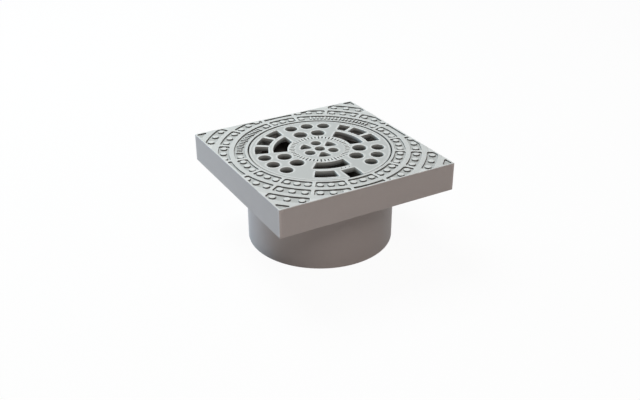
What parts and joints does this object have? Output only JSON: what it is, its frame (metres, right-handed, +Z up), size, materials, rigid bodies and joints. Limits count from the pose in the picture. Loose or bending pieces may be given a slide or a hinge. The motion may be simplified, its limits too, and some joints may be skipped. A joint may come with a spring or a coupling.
{
  "type": "drain grate with frame",
  "caption": "Square moulded floor drain top with a round pipe spigot below, anti-slip studs on its plate and a perforated drop-in grate with a lifting notch.",
  "frame": {"origin": "centre of the spigot's foot, on the surface that the part stands on", "axes": "+Z up along the spigot's axis to the floor side of the plate, -Y towards the grate's lifting notch, X and Y along the sides of the square plate"},
  "size_m": [0.14, 0.14, 0.07],
  "materials": {
    "grey_plastic": "satin moulded grey"
  },
  "bodies": {
    "root": {"frame": "grey_plastic", "grate": "grey_plastic"}
  },
  "joints": []
}
